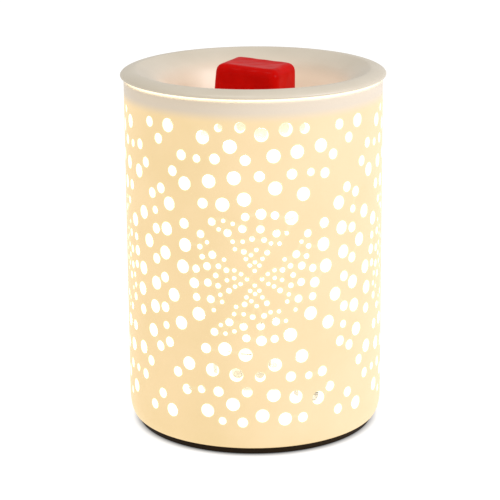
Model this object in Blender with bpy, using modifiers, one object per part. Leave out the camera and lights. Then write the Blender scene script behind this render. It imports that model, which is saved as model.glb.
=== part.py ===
"""Lamp-heated wax warmer: a perforated ceramic cylinder with a lift-off dish, a wax melt and a
twist-lock reflector lamp in a holder on a steel bracket.

Sizes are in millimetres and are turned into metres by MM. The frame stands on Z = 0, +Z is up,
the vertical axis of the body is X = Y = 0, the front is -Y and the cable gland is at the rear, +Y.
"""

import math

import bmesh
import bpy
from mathutils import Euler, Matrix, Vector

MM = 0.001
GAP = 0.3

# Driving dimensions of the ceramic body
BODY_R = 53.1
WALL = 4.0
BODY_BOTTOM_Z = 3.3
BODY_TOP_Z = 146.0
FLOOR_TOP_Z = 7.6
FLOOR_UNDER_Z = 4.1
FLOOR_HOLE_R = 32.0
CORNER_IN = 2.2
CORNER_UP = 8.0
INNER_R = BODY_R - WALL
BODY_SIDES = 48

# Three lugs inside the mouth carry the dish
LUG_ANGLES = (90, 210, 330)
LUG_TOP_Z = 142.2
LUG_SIZE = (6.2, 8.0, 3.6)

# Punched light holes: four bursts round the body, each with four fans
BURST_Z = 75.3
BURST_COUNT = 4
HOLE_R = 2.9
HOLE_SIDES = 6
LOWER_NARROW = 0.96
# (distance from the burst centre, degrees clockwise from straight up)
TALL_FAN = (
    (28, 32), (32, -23), (32, -7), (37, 13), (38.5, 31),
    (41, -11), (42.5, -25), (46.5, -38), (49.5, 9), (53, 19),
    (53.5, -10), (57.5, 3), (58.5, 28), (59.5, -20), (60.5, 12),
)
# (distance from the burst centre, degrees up from level)
WIDE_FAN = (
    (28, -35), (30, 5), (31, 22), (36, -16), (37.5, -34), (39.5, 10), (41.5, 24), (45.5, 37),
)

# Base plate, its gasket and feet
PLATE_R = 49.6
PLATE_Z = (0.3, 3.0)
GASKET_Z = (3.1, 3.95)
GASKET_R = (33.5, 46.5)
FOOT_R = 6.0
FOOT_TOP_Z = 1.5
FOOT_PLACES = ((29, 29), (-29, 29), (-29, -29), (29, -29))

# Cable gland in the rear wall; the cable itself is left out
GLAND_Z = 15.0
GLAND_BORE_R = 3.2
GLAND_NECK_R = 4.3
GLAND_CLEAR_R = 8.0

# Bracket over the floor opening
BRACKET_THICK = 1.2
BRACKET_WIDTH = 16.0
BRACKET_FOOT_Z = 8.4
BRACKET_TOP_Z = 26.3
BRACKET_LEG_X = 17.0
BRACKET_FOOT_X = 42.0
CLAMP_X = 26.0
CLAMP_SHAFT_R = 2.0

# Twist-lock lampholder and lamp
HOLDER_R = 15.5
COVER_Z = (27.8, 30.7)
HOLDER_Z = (31.0, 42.7)
SLOT_PLATE_Z = 39.9
CHANNEL_TOP_Z = 35.9
PIN_X = 5.0
PIN_HEAD_R = 2.5
PIN_NECK_R = 1.4
TWIST_DEG = 20
HOLDER_SCREW_X = 11.5
LEAD_X = 6.0
LEAD_Y = 11.5
LEAD_R = 1.1
CONTACT_Z = (35.0, 35.6)
CAP_Z = (43.0, 60.0)
LENS_Z = (89.0, 90.2)
REFLECTOR_R = 25.0

# Terminal block on the base plate
BLOCK_SIZE = (20.0, 10.0, 9.7)
BLOCK_CENTRE = (0.0, 22.0, 8.05)
WIRE_HOLE_Z = 8.0
WIRE_HOLE_R = 1.7
POLE_X = 5.0

# Dish
LIP_R = 54.5
CREST_R = 48.8
CREST_Z = 149.7
LIP_LOW_Z = 146.6
DISH_FLOOR_Z = 129.5
DISH_UNDER_Z = 125.5
DISH_SIDES = 48

# Wax melt: a tapered block, turned and leaning a little in the dish
WAX_BASE = (29.0, 24.0)
WAX_TOP = (27.4, 22.4)
WAX_HEIGHT = 21.2
WAX_ROUND = 3.2
WAX_X = 0.2
WAX_YAW = -24
WAX_LEAN = 3

PARTS = bpy.data.collections.new("wax_warmer")
CUTTERS = bpy.data.collections.new("cutters")


# Scene, materials and objects

def clear_scene():
    for old in list(bpy.data.objects):
        bpy.data.objects.remove(old, do_unlink=True)
    for collection in (PARTS, CUTTERS):
        bpy.context.scene.collection.children.link(collection)
    CUTTERS.hide_render = True


def material(name, colour, roughness, metallic=0.0, glow=0.0, transmission=0.0):
    made = bpy.data.materials.new(name)
    made.use_nodes = True
    shader = made.node_tree.nodes["Principled BSDF"]
    shader.inputs["Base Color"].default_value = (*colour, 1.0)
    shader.inputs["Roughness"].default_value = roughness
    shader.inputs["Metallic"].default_value = metallic
    shader.inputs["Transmission Weight"].default_value = transmission
    shader.inputs["Emission Color"].default_value = (*colour, 1.0)
    shader.inputs["Emission Strength"].default_value = glow
    made.diffuse_color = (*colour, 1.0)
    return made


def add_object(name, data, made_of, parent=None):
    """A part in the parts collection."""
    thing = bpy.data.objects.new(name, data)
    PARTS.objects.link(thing)
    data.materials.append(made_of)
    thing.parent = parent
    return thing


def add_cutter(name, data):
    thing = bpy.data.objects.new(name, data)
    CUTTERS.objects.link(thing)
    thing.hide_render = True
    thing.display_type = "WIRE"
    return thing


def pivot(name, place=(0.0, 0.0, 0.0), parent=None):
    """An empty that stands on a joint's axis."""
    empty = bpy.data.objects.new(name, None)
    PARTS.objects.link(empty)
    empty.location = Vector(place) * MM
    empty.parent = parent
    return empty


def combine(thing, other, operation):
    step = thing.modifiers.new(f"{operation.lower()}_{other.name}", "BOOLEAN")
    step.operation = operation
    step.object = other
    step.solver = "EXACT"


def finish_mesh(name, mesh_work, smooth=True):
    mesh = bpy.data.meshes.new(name)
    mesh_work.to_mesh(mesh)
    mesh_work.free()
    if smooth:
        mesh.shade_smooth()
        mesh.set_sharp_from_angle(angle=math.radians(35))
    return mesh


# Shapes

def profile_mesh(name, points, closed):
    """The outline of a turned shape in the XZ plane, running down its outer side."""
    work = bmesh.new()
    corners = [work.verts.new((r * MM, 0.0, z * MM)) for r, z in points]
    pairs = list(zip(corners, corners[1:]))
    if closed:
        pairs.append((corners[-1], corners[0]))
    for pair in pairs:
        work.edges.new(pair)
    mesh = bpy.data.meshes.new(name)
    work.to_mesh(mesh)
    work.free()
    return mesh


def turn(thing, sides):
    step = thing.modifiers.new("turn", "SCREW")
    step.axis = "Z"
    step.angle = math.tau
    step.steps = sides
    step.render_steps = sides
    step.use_merge_vertices = True
    step.merge_threshold = 0.00001
    step.use_smooth_shade = True


def turned(name, points, made_of, sides=32, parent=None):
    """A turned part. Its outline is closed unless both ends lie on the axis."""
    closed = points[0][0] > 0 or points[-1][0] > 0
    thing = add_object(name, profile_mesh(name, points, closed), made_of, parent)
    turn(thing, sides)
    return thing


def cylinder_mesh(name, radius, z_range, sides=20, at=(0.0, 0.0), top_radius=None):
    work = bmesh.new()
    low, high = z_range
    bmesh.ops.create_cone(
        work,
        cap_ends=True,
        segments=sides,
        radius1=radius * MM,
        radius2=(radius if top_radius is None else top_radius) * MM,
        depth=(high - low) * MM,
    )
    middle = Vector((at[0], at[1], (low + high) / 2)) * MM
    bmesh.ops.translate(work, verts=work.verts, vec=middle)
    return finish_mesh(name, work)


def box_mesh(name, size, centre, bevel=0.0):
    work = bmesh.new()
    bmesh.ops.create_cube(work, size=1.0)
    bmesh.ops.scale(work, verts=work.verts, vec=Vector(size) * MM)
    if bevel:
        bmesh.ops.bevel(
            work, geom=work.edges[:], offset=bevel * MM, segments=1, affect="EDGES"
        )
    bmesh.ops.translate(work, verts=work.verts, vec=Vector(centre) * MM)
    return finish_mesh(name, work, smooth=False)


def prism_mesh(name, outline, z_range):
    """An upright prism on a counter-clockwise outline."""
    work = bmesh.new()
    low, high = z_range
    face = work.faces.new([work.verts.new((x * MM, y * MM, low * MM)) for x, y in outline])
    made = bmesh.ops.extrude_face_region(work, geom=[face])
    top = [item for item in made["geom"] if isinstance(item, bmesh.types.BMVert)]
    bmesh.ops.translate(work, verts=top, vec=(0.0, 0.0, (high - low) * MM))
    bmesh.ops.recalc_face_normals(work, faces=work.faces)
    return finish_mesh(name, work)


def polar(radius, degrees):
    turn_to = math.radians(degrees)
    return radius * math.cos(turn_to), radius * math.sin(turn_to)


def arc_points(centre, radius, start, end, count):
    """Points on an arc, both ends included."""
    steps = [start + (end - start) * i / (count - 1) for i in range(count)]
    offsets = [polar(radius, step) for step in steps]
    return [(centre[0] + x, centre[1] + y) for x, y in offsets]


def arc_slot(radius, half_width, start, end):
    """The outline of a slot that follows an arc about the axis, with round ends."""
    outside = arc_points((0, 0), radius + half_width, start, end, 5)
    inside = arc_points((0, 0), radius - half_width, end, start, 5)
    far_cap = arc_points(polar(radius, end), half_width, end, end + 180, 7)[1:-1]
    near_cap = arc_points(polar(radius, start), half_width, start + 180, start + 360, 7)[1:-1]
    return outside + far_cap + inside + near_cap


def wire(name, points, radius, made_of, parent=None):
    """A round wire along points in millimetres."""
    curve = bpy.data.curves.new(name, "CURVE")
    curve.dimensions = "3D"
    curve.bevel_depth = radius * MM
    curve.bevel_resolution = 2
    curve.use_fill_caps = True
    spline = curve.splines.new("POLY")
    spline.points.add(len(points) - 1)
    for node, (x, y, z) in zip(spline.points, points):
        node.co = (x * MM, y * MM, z * MM, 1.0)
    return add_object(name, curve, made_of, parent)


def smooth_route(knots, per_span):
    """Points on a Catmull-Rom curve through the knots."""
    marks = [Vector(knot) for knot in knots]
    marks = [2 * marks[0] - marks[1], *marks, 2 * marks[-1] - marks[-2]]
    route = []
    for a, b, c, d in zip(marks, marks[1:], marks[2:], marks[3:]):
        for i in range(per_span):
            t = i / per_span
            route.append(
                0.5 * (2 * b + (c - a) * t + (2 * a - 5 * b + 4 * c - d) * t**2
                       + (3 * b - a - 3 * c + d) * t**3)
            )
    route.append(marks[-2])
    return route


# Ceramic body

def light_holes():
    """(angle round the body, height) of each hole, in radians and millimetres."""
    places = []
    for distance, degrees in TALL_FAN:
        up, along = polar(distance, degrees)
        down, along_low = polar(distance, degrees * LOWER_NARROW)
        places += [(along, up), (along_low, -down)]
    for distance, degrees in WIDE_FAN:
        along, up = polar(distance, degrees)
        places += [(along, up), (-along, up)]
    holes = []
    for burst in range(BURST_COUNT):
        middle = math.tau * (burst / BURST_COUNT - 0.25)
        side = -1 if burst >= 2 else 1
        lift = -1 if burst % 2 else 1
        holes += [(middle + side * x / BODY_R, BURST_Z + lift * z) for x, z in places]
    return holes


def clear_of_gland(angle, height):
    across = (angle - math.pi / 2) * BODY_R
    return math.hypot(across, height - GLAND_Z) > GLAND_CLEAR_R + HOLE_R


def light_hole_cutter():
    work = bmesh.new()
    for angle, height in light_holes():
        if not clear_of_gland(angle, height):
            continue
        reach = (INNER_R + BODY_R) / 2 * MM
        place = (
            Matrix.Rotation(angle, 4, "Z")
            @ Matrix.Translation((reach, 0.0, height * MM))
            @ Matrix.Rotation(math.pi / 2, 4, "Y")
        )
        bmesh.ops.create_cone(
            work,
            cap_ends=True,
            segments=HOLE_SIDES,
            radius1=HOLE_R * MM,
            radius2=HOLE_R * MM,
            depth=2.5 * WALL * MM,
            matrix=place,
        )
    return add_cutter("light_holes", finish_mesh("light_holes", work))


def lug_union():
    """The three lugs, each running a little way into the wall."""
    work = bmesh.new()
    deep, wide, tall = LUG_SIZE
    for degrees in LUG_ANGLES:
        centre = (INNER_R + 1.2 - deep / 2, 0.0, LUG_TOP_Z - tall / 2)
        place = (
            Matrix.Rotation(math.radians(degrees), 4, "Z")
            @ Matrix.Translation(Vector(centre) * MM)
            @ Matrix.Diagonal((deep * MM, wide * MM, tall * MM, 1.0))
        )
        bmesh.ops.create_cube(work, size=1.0, matrix=place)
    return add_cutter("lugs", finish_mesh("lugs", work, smooth=False))


def along_y(thing, place_y, height):
    """Turns a cutter or part from +Z to +Y and moves it to the rear wall."""
    thing.rotation_euler = (-math.pi / 2, 0.0, 0.0)
    thing.location = (0.0, place_y * MM, height * MM)


def make_shell(ceramic):
    rim = 1.2
    corner = [
        (
            BODY_R - CORNER_IN + CORNER_IN * math.sin(step),
            BODY_BOTTOM_Z + CORNER_UP * (1 - math.cos(step)),
        )
        for step in (math.pi / 2 * i / 5 for i in range(5, -1, -1))
    ]
    outline = [
        (BODY_R - rim, BODY_TOP_Z),
        (BODY_R - 0.3 * rim, BODY_TOP_Z - 0.3 * rim),
        (BODY_R, BODY_TOP_Z - rim),
        *corner,
        (GASKET_R[1] + 0.7, BODY_BOTTOM_Z),
        (GASKET_R[1] + 0.3, FLOOR_UNDER_Z),
        (FLOOR_HOLE_R, FLOOR_UNDER_Z),
        (FLOOR_HOLE_R, FLOOR_TOP_Z),
        (INNER_R - 2.0, FLOOR_TOP_Z),
        (INNER_R - 0.6, FLOOR_TOP_Z + 0.6),
        (INNER_R, FLOOR_TOP_Z + 2.0),
        (INNER_R, BODY_TOP_Z - rim),
        (INNER_R + 0.3 * rim, BODY_TOP_Z - 0.3 * rim),
        (INNER_R + rim, BODY_TOP_Z),
    ]
    shell = turned("ceramic_shell", outline, ceramic, BODY_SIDES)
    gland_hole = add_cutter(
        "gland_hole", cylinder_mesh("gland_hole", GLAND_NECK_R + GAP, (-WALL, WALL), 20)
    )
    along_y(gland_hole, (INNER_R + BODY_R) / 2, GLAND_Z)
    combine(shell, lug_union(), "UNION")
    combine(shell, gland_hole, "DIFFERENCE")
    combine(shell, light_hole_cutter(), "DIFFERENCE")


def make_gland(rubber):
    inner_face = 46.6
    outer_face = 54.3
    outline = [
        (GLAND_BORE_R, outer_face),
        (5.6, outer_face),
        (6.2, outer_face - 0.5),
        (6.2, BODY_R + 0.25),
        (GLAND_NECK_R, BODY_R + 0.25),
        (GLAND_NECK_R, INNER_R - 0.7),
        (5.8, INNER_R - 0.7),
        (5.8, inner_face + 0.5),
        (5.2, inner_face),
        (GLAND_BORE_R, inner_face),
    ]
    gland = turned("cord_grommet", outline, rubber, 20)
    along_y(gland, 0.0, GLAND_Z)


# Base

def make_base(dark, gasket_stuff, rubber):
    low, high = PLATE_Z
    outline = [
        (0.0, high),
        (PLATE_R - 0.5, high),
        (PLATE_R, high - 0.5),
        (PLATE_R, low + 0.4),
        (PLATE_R - 0.4, low),
        (0.0, low),
    ]
    plate = turned("base_plate", outline, dark, BODY_SIDES)
    for i, (x, y) in enumerate(FOOT_PLACES):
        pocket = cylinder_mesh("pocket", FOOT_R + GAP, (0.0, FOOT_TOP_Z + 0.2), 20, (x, y))
        combine(plate, add_cutter(f"foot_pocket_{i + 1}", pocket), "DIFFERENCE")
        foot = cylinder_mesh("foot", FOOT_R - 0.5, (0.0, FOOT_TOP_Z), 20, (x, y), FOOT_R)
        add_object(f"foot_{i + 1}", foot, rubber)
    for side, x in (("left", -CLAMP_X), ("right", CLAMP_X)):
        head = cylinder_mesh("head", 4.6, (low - 0.5, high - 0.4), 20, (x, 0), 2.6)
        shaft = cylinder_mesh("shaft", CLAMP_SHAFT_R + GAP, (low, high + 1), 20, (x, 0))
        combine(plate, add_cutter(f"clamp_head_{side}", head), "DIFFERENCE")
        combine(plate, add_cutter(f"clamp_bore_{side}", shaft), "DIFFERENCE")
    block_bore = cylinder_mesh("bore", 1.25 + GAP, (low - 1, high + 1), 16, BLOCK_CENTRE[:2])
    combine(plate, add_cutter("block_screw_bore", block_bore), "DIFFERENCE")
    inner, outer = GASKET_R
    bottom, top = GASKET_Z
    ring = [(inner, top), (outer, top), (outer, bottom), (inner, bottom)]
    turned("base_gasket", ring, gasket_stuff, 48)


# Bracket and clamp

def bracket_outline():
    """The centre line of the bent strip, left to right, as (x, z)."""
    foot = BRACKET_FOOT_Z + BRACKET_THICK / 2
    top = BRACKET_TOP_Z + BRACKET_THICK / 2
    leg = BRACKET_LEG_X
    bend = 2.0
    right = [
        (leg - bend, top), (leg, top - bend), (leg, foot + bend), (leg + bend, foot),
        (BRACKET_FOOT_X, foot),
    ]
    return [(-x, z) for x, z in reversed(right)] + right


def make_bracket(steel, gasket_stuff):
    work = bmesh.new()
    half = BRACKET_WIDTH / 2
    line = [work.verts.new((x * MM, -half * MM, z * MM)) for x, z in bracket_outline()]
    edges = [work.edges.new(pair) for pair in zip(line, line[1:])]
    made = bmesh.ops.extrude_edge_only(work, edges=edges)
    far = [item for item in made["geom"] if isinstance(item, bmesh.types.BMVert)]
    bmesh.ops.translate(work, verts=far, vec=(0.0, 2 * half * MM, 0.0))
    bmesh.ops.recalc_face_normals(work, faces=work.faces)
    bracket = add_object("lamp_bracket", finish_mesh("lamp_bracket", work, False), steel)
    thicken = bracket.modifiers.new("thicken", "SOLIDIFY")
    thicken.thickness = BRACKET_THICK * MM
    thicken.offset = 0.0
    foot_z = (BRACKET_FOOT_Z - 1, BRACKET_FOOT_Z + BRACKET_THICK + 1)
    top_z = (BRACKET_TOP_Z - 1, BRACKET_TOP_Z + BRACKET_THICK + 1)
    for side, sign in (("left", -1), ("right", 1)):
        clamp = cylinder_mesh("clamp", CLAMP_SHAFT_R + GAP, foot_z, 20, (sign * CLAMP_X, 0))
        fixing = cylinder_mesh("fixing", 1.5 + GAP, top_z, 16, (sign * HOLDER_SCREW_X, 0))
        combine(bracket, add_cutter(f"bracket_clamp_{side}", clamp), "DIFFERENCE")
        combine(bracket, add_cutter(f"bracket_fixing_{side}", fixing), "DIFFERENCE")
        middle = (sign * 37.0, 0.0, (FLOOR_TOP_Z + BRACKET_FOOT_Z) / 2)
        pad = box_mesh("pad", (9.0, 15.0, BRACKET_FOOT_Z - FLOOR_TOP_Z - 0.2), middle)
        add_object(f"bracket_pad_{side}", pad, gasket_stuff)


def make_clamp(side, x, steel):
    """A countersunk screw up through the base plate and the bracket, and its nut."""
    low = PLATE_Z[0] + 0.1
    tip = 13.6
    outline = [
        (0.0, tip),
        (CLAMP_SHAFT_R - 0.5, tip),
        (CLAMP_SHAFT_R, tip - 0.5),
        (CLAMP_SHAFT_R, low + 1.9),
        (3.6, low + 0.3),
        (3.6, low),
        (0.0, low),
    ]
    screw = turned(f"clamp_screw_{side}", outline, steel, 20)
    screw.location.x = x * MM
    nut_z = (BRACKET_FOOT_Z + BRACKET_THICK + 0.1, 12.2)
    nut = cylinder_mesh("nut", 4.0, nut_z, 6, (x, 0))
    nut_object = add_object(f"clamp_nut_{side}", nut, steel)
    bore = cylinder_mesh("nut_bore", CLAMP_SHAFT_R + 0.15, (5.0, 15.0), 20, (x, 0))
    combine(nut_object, add_cutter(f"nut_bore_{side}", bore), "DIFFERENCE")


# Lampholder

def make_holder(ceramic, brass, steel, wire_cover):
    low, high = HOLDER_Z
    outline = [
        (0.0, high), (HOLDER_R - 1.0, high), (HOLDER_R, high - 1.0), (HOLDER_R, low), (0.0, low),
    ]
    body = turned("lampholder_body", outline, ceramic, 40)
    c_low, c_high = COVER_Z
    disc = [
        (0.0, c_high), (HOLDER_R, c_high), (HOLDER_R, c_low + 0.8), (HOLDER_R - 0.8, c_low),
        (0.0, c_low),
    ]
    cover = turned("lampholder_cover", disc, ceramic, 40)
    for side, sign, start in (("left", -1, 180), ("right", 1, 0)):
        pocket = arc_slot(PIN_X, PIN_HEAD_R + 0.6, start - 4, start + TWIST_DEG + 4)
        narrow = arc_slot(PIN_X, PIN_NECK_R + 0.4, start - 3, start + TWIST_DEG)
        wide = arc_points(polar(PIN_X, start + TWIST_DEG), PIN_HEAD_R + 0.4, 0, 337.5, 16)
        channel_size = (4.6, LEAD_Y + 2.4, CHANNEL_TOP_Z - low + 1)
        channel_at = (sign * LEAD_X, (LEAD_Y + 2.4) / 2, (CHANNEL_TOP_Z + low - 1) / 2)
        cuts = (
            ("pocket", prism_mesh("pocket", pocket, (low - 1, SLOT_PLATE_Z))),
            ("narrow", prism_mesh("narrow", narrow, (SLOT_PLATE_Z - 1, high + 1))),
            ("wide", prism_mesh("wide", wide, (SLOT_PLATE_Z - 1, high + 1))),
            ("channel", box_mesh("channel", channel_size, channel_at)),
            ("fixing", cylinder_mesh("fixing", 1.8, (low - 1, 38.6), 16, (sign * HOLDER_SCREW_X, 0))),
        )
        for what, mesh in cuts:
            combine(body, add_cutter(f"{what}_{side}", mesh), "DIFFERENCE")
        bores = (
            ("lead_bore", LEAD_R + GAP, (sign * LEAD_X, LEAD_Y)),
            ("cover_fixing", 1.8, (sign * HOLDER_SCREW_X, 0)),
        )
        for what, radius, place in bores:
            bore = cylinder_mesh(what, radius, (c_low - 1, c_high + 1), 16, place)
            combine(cover, add_cutter(f"{what}_{side}", bore), "DIFFERENCE")
        make_contact(side, sign, brass)
        make_holder_screw(side, sign * HOLDER_SCREW_X, steel)
        make_lead(side, sign, wire_cover)


def make_contact(side, sign, brass):
    """A flat strip under the pin's path that runs back to the lead."""
    front, rear = -1.2, LEAD_Y + 1.8
    size = (3.0, rear - front, CONTACT_Z[1] - CONTACT_Z[0])
    centre = (sign * LEAD_X, (front + rear) / 2, sum(CONTACT_Z) / 2)
    add_object(f"contact_{side}", box_mesh("contact", size, centre), brass)


def make_holder_screw(side, x, steel):
    head_low = BRACKET_TOP_Z - 2.2
    outline = [
        (0.0, 38.0),
        (1.0, 38.0),
        (1.5, 37.5),
        (1.5, BRACKET_TOP_Z - 0.1),
        (2.8, BRACKET_TOP_Z - 0.1),
        (2.8, head_low + 0.6),
        (2.2, head_low),
        (0.0, head_low),
    ]
    screw = turned(f"holder_screw_{side}", outline, steel, 16)
    screw.location.x = x * MM


def make_lead(side, sign, wire_cover):
    """A lead from the terminal block up into the back of the lampholder."""
    front = BLOCK_CENTRE[1] - BLOCK_SIZE[1] / 2 - GAP
    knots = (
        (sign * POLE_X, front, WIRE_HOLE_Z),
        (sign * POLE_X, front - 2.2, WIRE_HOLE_Z + 0.5),
        (sign * (POLE_X + 0.3), LEAD_Y + 1.2, WIRE_HOLE_Z + 3.0),
        (sign * (POLE_X + 0.6), LEAD_Y + 0.2, WIRE_HOLE_Z + 8.0),
        (sign * LEAD_X, LEAD_Y, WIRE_HOLE_Z + 14.0),
        (sign * LEAD_X, LEAD_Y, COVER_Z[0]),
        (sign * LEAD_X, LEAD_Y, CONTACT_Z[0] - GAP),
    )
    wire(f"lead_{side}", smooth_route(knots, 3), LEAD_R, wire_cover)


def make_terminal_block(plastic, steel):
    block = add_object(
        "terminal_block", box_mesh("terminal_block", BLOCK_SIZE, BLOCK_CENTRE, 0.6), plastic
    )
    top = BLOCK_CENTRE[2] + BLOCK_SIZE[2] / 2
    mount = cylinder_mesh("mount", 1.25 + GAP, (0.0, top + 1), 16, BLOCK_CENTRE[:2])
    recess = cylinder_mesh("recess", 2.7, (top - 2.6, top + 1), 16, BLOCK_CENTRE[:2])
    combine(block, add_cutter("block_mount", mount), "DIFFERENCE")
    combine(block, add_cutter("block_recess", recess), "DIFFERENCE")
    for side, sign in (("left", -1), ("right", 1)):
        hole = cylinder_mesh("hole", WIRE_HOLE_R, (-BLOCK_SIZE[1], BLOCK_SIZE[1]), 16)
        cutter = add_cutter(f"wire_hole_{side}", hole)
        along_y(cutter, BLOCK_CENTRE[1], WIRE_HOLE_Z)
        cutter.location.x = sign * POLE_X * MM
        combine(block, cutter, "DIFFERENCE")
        for end, offset in (("front", -2.7), ("rear", 2.7)):
            at = (sign * POLE_X, BLOCK_CENTRE[1] + offset)
            well = cylinder_mesh("well", 1.9, (WIRE_HOLE_Z, top + 1), 16, at)
            combine(block, add_cutter(f"well_{side}_{end}", well), "DIFFERENCE")
            screw = cylinder_mesh("screw", 1.6, (WIRE_HOLE_Z + 0.6, top - 1.0), 16, at)
            add_object(f"terminal_screw_{side}_{end}", screw, steel)
    outline = [
        (0.0, top - 0.6),
        (2.3, top - 0.6),
        (2.3, top - 2.4),
        (1.25, top - 2.4),
        (1.25, 1.2),
        (0.0, 1.2),
    ]
    screw = turned("block_screw", outline, steel, 16)
    screw.location = Vector((*BLOCK_CENTRE[:2], 0.0)) * MM


# Lamp

def make_lamp(ceramic, glass, quartz, nickel, tungsten):
    twist = pivot("lamp_twist_axis")
    low, high = CAP_Z
    cap = [
        (0.0, low + 8.5),
        (9.3, low + 8.5),
        (9.3, high),
        (11.6, high),
        (12.4, high - 0.8),
        (12.4, low + 6.0),
        (10.4, low + 3.0),
        (10.4, low),
        (0.0, low),
    ]
    cap_object = turned("bulb_cap", cap, ceramic, 28, twist)
    make_reflector(glass, twist)
    lens_low, lens_high = LENS_Z
    lens = [
        (0.0, lens_high + 0.5),
        (22.6, lens_high),
        (23.2, lens_high - 0.5),
        (23.2, lens_low),
        (0.0, lens_low),
    ]
    turned("bulb_lens", lens, quartz, 32, twist)
    capsule = [
        (0.0, 77.0),
        (1.2, 76.4),
        (3.4, 74.8),
        (4.3, 72.0),
        (4.3, 52.8),
        (3.2, 52.8),
        (3.2, 71.5),
        (2.4, 73.6),
        (0.0, 74.6),
    ]
    turned("halogen_capsule", capsule, quartz, 20, twist)
    wire("filament", filament_route(), 0.2, tungsten, twist)
    for side, sign in (("left", -1), ("right", 1)):
        pin = [
            (0.0, low + 3.0),
            (PIN_NECK_R, low + 3.0),
            (PIN_NECK_R, 39.5),
            (PIN_HEAD_R, 39.0),
            (PIN_HEAD_R, 36.6),
            (PIN_HEAD_R - 0.6, 36.0),
            (0.0, 36.0),
        ]
        pin_object = turned(f"bulb_pin_{side}", pin, nickel, 16, twist)
        pin_object.location.x = sign * PIN_X * MM
        socket = cylinder_mesh("socket", PIN_NECK_R + GAP, (low - 1, low + 3.3), 16)
        cutter = add_cutter(f"pin_socket_{side}", socket)
        cutter.location.x = sign * PIN_X * MM
        combine(cap_object, cutter, "DIFFERENCE")


def make_reflector(glass, twist):
    """A bowl on a parabola, with a hollow neck in the cap and a rebate for the lens."""
    wall = 1.6
    foot_z = 62.0
    rim_z = 87.4
    neck = 5.6
    rise = (rim_z - foot_z) / (22.6**2 - neck**2)
    radii = [neck + (22.6 - neck) * i / 5 for i in range(6)]
    inside = [(r, foot_z + rise * (r * r - neck * neck)) for r in radii]
    outside = [(r + wall * 0.9, z - wall * 0.9) for r, z in reversed(inside)]
    outline = [
        (23.7, LENS_Z[1] + 0.6),
        (REFLECTOR_R - 0.4, LENS_Z[1] + 0.6),
        (REFLECTOR_R, LENS_Z[1]),
        (REFLECTOR_R, rim_z - 0.4),
        *outside,
        (8.6, 59.8),
        (8.6, CAP_Z[0] + 8.9),
        (neck, CAP_Z[0] + 8.9),
        *inside,
        (22.6, LENS_Z[0] - GAP),
        (23.7, LENS_Z[0] - GAP),
    ]
    turned("bulb_reflector", outline, glass, 32, twist)


def filament_route():
    """Two legs and a small coil between them, inside the capsule."""
    coil_r = 0.9
    half = 1.5
    turns = 3
    height = 70.0
    steps = 8 * turns
    coil = [
        (
            -half + 2 * half * i / steps,
            coil_r * math.sin(math.tau * i / 8),
            height - coil_r * math.cos(math.tau * i / 8),
        )
        for i in range(steps + 1)
    ]
    return [(-1.9, 0.0, 54.0), (-1.9, 0.0, 68.0), *coil, (1.9, 0.0, 68.0), (1.9, 0.0, 54.0)]


# Dish and wax

def make_dish(ceramic):
    lift = pivot("dish_lift_axis")
    floor = DISH_FLOOR_Z
    under = DISH_UNDER_Z
    ring_z = LUG_TOP_Z + GAP
    outline = [
        (0.0, floor),
        (27.0, floor),
        (31.2, floor + 1.1),
        (34.0, floor + 4.8),
        (36.0, floor + 10.4),
        (38.2, floor + 14.6),
        (41.6, floor + 17.2),
        (CREST_R - 1.8, CREST_Z - 0.5),
        (CREST_R, CREST_Z),
        (CREST_R + 2.4, CREST_Z - 0.3),
        (LIP_R - 1.0, CREST_Z - 1.2),
        (LIP_R, LIP_LOW_Z + 0.9),
        (LIP_R - 0.3, LIP_LOW_Z + 0.2),
        (LIP_R - 1.1, LIP_LOW_Z),
        (50.0, LIP_LOW_Z),
        (48.6, LIP_LOW_Z - 0.5),
        (47.5, LIP_LOW_Z - 1.8),
        (47.0, LIP_LOW_Z - 3.0),
        (47.0, ring_z),
        (44.6, ring_z),
        (44.4, ring_z + 1.7),
        (41.9, ring_z - 0.6),
        (39.9, ring_z - 4.0),
        (38.2, ring_z - 9.0),
        (36.4, under + 4.2),
        (33.4, under + 1.1),
        (29.0, under),
        (0.0, under),
    ]
    turned("dish", outline, ceramic, DISH_SIDES, lift)


def make_wax(wax):
    """The melt stands on the dish floor; its lean lifts one lower edge a little."""
    work = bmesh.new()
    bmesh.ops.create_cube(work, size=1.0)
    for corner in work.verts:
        width, depth = WAX_TOP if corner.co.z > 0 else WAX_BASE
        corner.co.x *= width * MM
        corner.co.y *= depth * MM
        corner.co.z = (corner.co.z + 0.5) * WAX_HEIGHT * MM
    melt = add_object("wax_melt", finish_mesh("wax_melt", work), wax, pivot("wax_lift_axis"))
    rounding = melt.modifiers.new("rounding", "BEVEL")
    rounding.width = WAX_ROUND * MM
    rounding.segments = 4
    rounding.limit_method = "NONE"
    rise = WAX_BASE[0] / 2 * math.sin(math.radians(WAX_LEAN))
    melt.location = Vector((WAX_X, 0.0, DISH_FLOOR_Z + rise + 0.05)) * MM
    melt.rotation_euler = Euler((0.0, math.radians(WAX_LEAN), math.radians(WAX_YAW)))


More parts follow.
